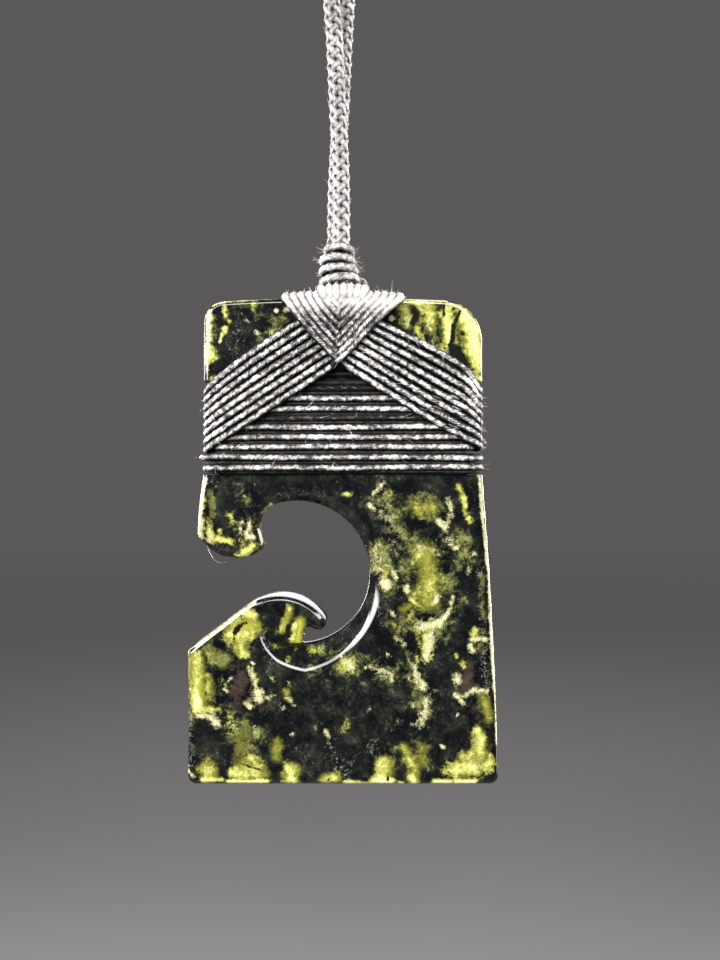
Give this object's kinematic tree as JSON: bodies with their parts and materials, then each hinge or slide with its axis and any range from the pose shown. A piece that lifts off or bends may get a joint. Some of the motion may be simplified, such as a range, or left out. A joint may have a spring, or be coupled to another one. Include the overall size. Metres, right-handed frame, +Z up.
{
  "type": "koru pendant",
  "caption": "Flat carved green stone pendant with a spiral eye open to one side, lashed with waxed thread and hung on a braided neck cord loop.",
  "frame": {"origin": "on the inside of the neck loop's top, under the join, where the loop lies on the neck", "axes": "+Z up along the hanging cord, -Y towards the viewer of the stone's front face, +X to the viewer's right"},
  "size_m": [0.1374, 0.011, 0.2086],
  "materials": {
    "stone": "polished",
    "thread": "satin",
    "cord": "matte"
  },
  "bodies": {
    "root": {"stone": "stone", "horizontal_turns": "thread", "left_diagonals": "thread", "right_diagonals": "thread", "chevron": "thread", "collar_whipping": "thread", "neck_cord_left": "cord", "neck_cord_right": "cord", "cord_join": "cord"}
  },
  "joints": []
}
